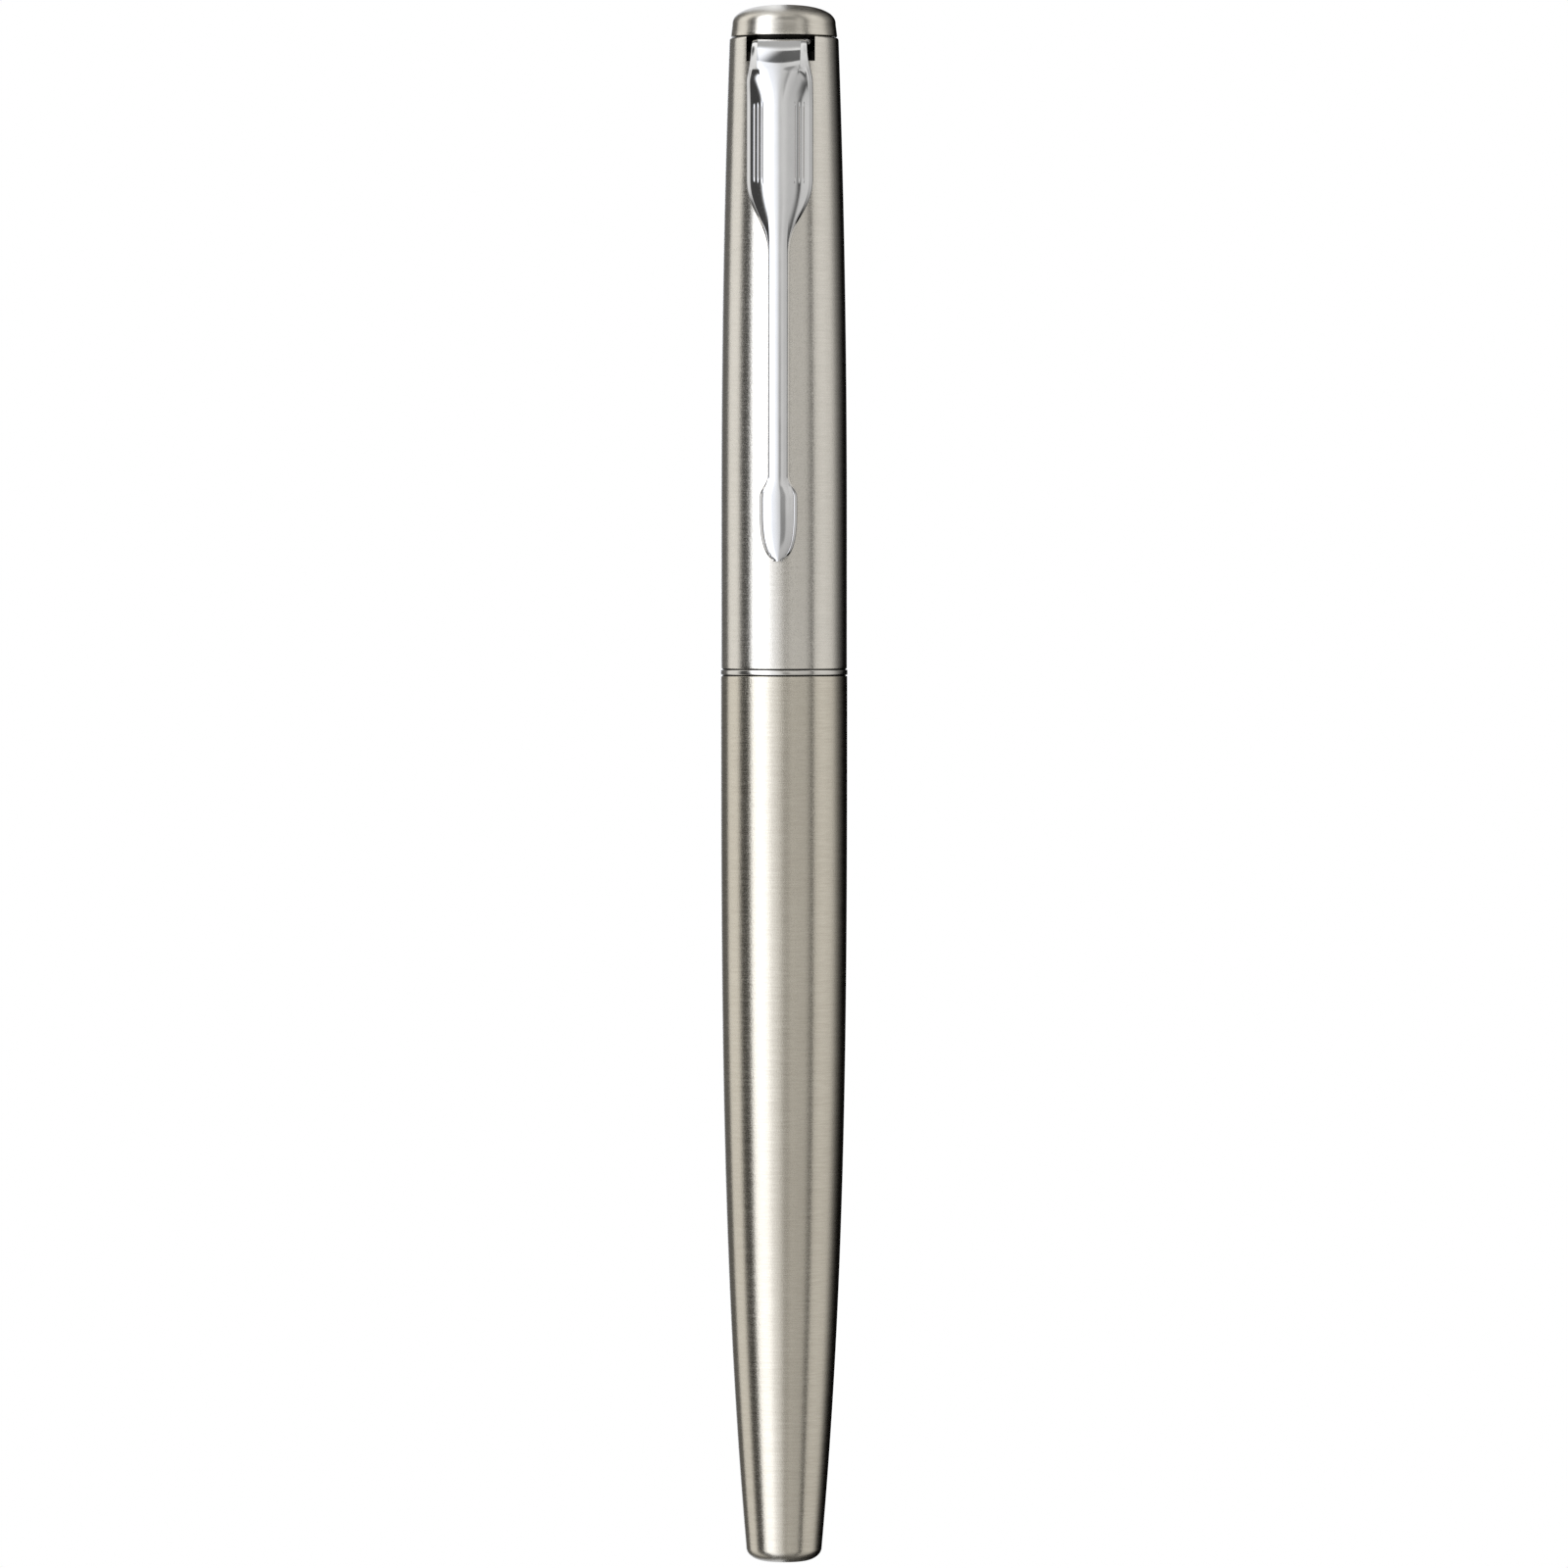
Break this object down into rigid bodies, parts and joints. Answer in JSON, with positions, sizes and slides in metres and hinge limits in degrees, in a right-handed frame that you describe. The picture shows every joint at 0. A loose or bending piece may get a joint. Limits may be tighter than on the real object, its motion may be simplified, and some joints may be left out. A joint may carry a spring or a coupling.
{
  "type": "capped rollerball pen",
  "caption": "Slim capped rollerball pen in brushed steel with a sprung pocket clip, a screw-in writing section and a replaceable liquid-ink refill.",
  "frame": {"origin": "middle of the flat on the barrel's closed end, on the pen's axis", "axes": "+Z along the pen from the barrel end to the cap's finial; -Y is the side that carries the clip; +X completes a right-handed frame"},
  "size_m": [0.011, 0.0123, 0.134],
  "materials": {
    "brushed_steel": "stainless steel, fine brushing round the axis",
    "polished_steel": "mirror-polished bright trim",
    "brass": "turned, bare",
    "spring_steel": "drawn wire, light oil",
    "carbide": "ground tungsten carbide ball",
    "black_resin": "moulded, satin gloss",
    "grey_resin": "moulded, matt",
    "white_resin": "extruded, translucent white",
    "ink_fibre": "bonded fibre soaked in ink",
    "film": "thin clear film"
  },
  "bodies": {
    "barrel": {"barrel_shell": "brushed_steel", "thread_bush": "brass", "spring_seat": "white_resin", "refill_spring": "spring_steel"},
    "centre_ring": {"trim_ring": "polished_steel"},
    "section": {"grip_section": "black_resin", "cap_snap_ring": "polished_steel", "nose_cone": "polished_steel"},
    "cap": {"cap_shell": "brushed_steel", "inner_cap": "grey_resin", "cap_finial": "brushed_steel", "finial_stud": "brass"},
    "clip": {"clip": "polished_steel"},
    "refill": {"refill_tube": "white_resin", "refill_end_plug": "black_resin", "refill_nose": "black_resin", "point_holder": "polished_steel", "ball_point": "brass", "ink_reservoir": "ink_fibre", "reservoir_sleeve": "film", "feed_wick": "ink_fibre"},
    "ball": {"writing_ball": "carbide"}
  },
  "joints": [
    {"name": "thread_advance", "type": "slide", "parent": "barrel", "child": "centre_ring", "axis": [0, 0, 1], "range_m": [0, 0.00361]},
    {"name": "section_unscrew", "type": "hinge", "parent": "centre_ring", "child": "section", "pos_m": [0, 0, 0.077], "axis": [0, 0, 1], "range_deg": [0, 1296]},
    {"name": "cap_pull", "type": "slide", "parent": "section", "child": "cap", "axis": [0, 0, 1], "range_m": [0, 0.052]},
    {"name": "clip_flex", "type": "hinge", "parent": "cap", "child": "clip", "pos_m": [0, -0.0044, 0.1306], "axis": [-1, 0, 0], "range_deg": [0, 2.5], "stiffness_Nm_per_rad": 4},
    {"name": "refill_float", "type": "slide", "parent": "section", "child": "refill", "axis": [0, 0, 1], "range_m": [-0.0012, 0], "stiffness_N_per_m": 300, "springref_m": 0.002, "deforming": ["refill_spring"]},
    {"name": "ball_roll", "type": "hinge", "parent": "refill", "child": "ball", "pos_m": [0, 0, 0.1185], "axis": [1, 0, 0], "continuous": true}
  ],
  "couplings": [
    {"joint": "thread_advance", "follows": "section_unscrew", "m_per_rad": 0.00015915}
  ]
}
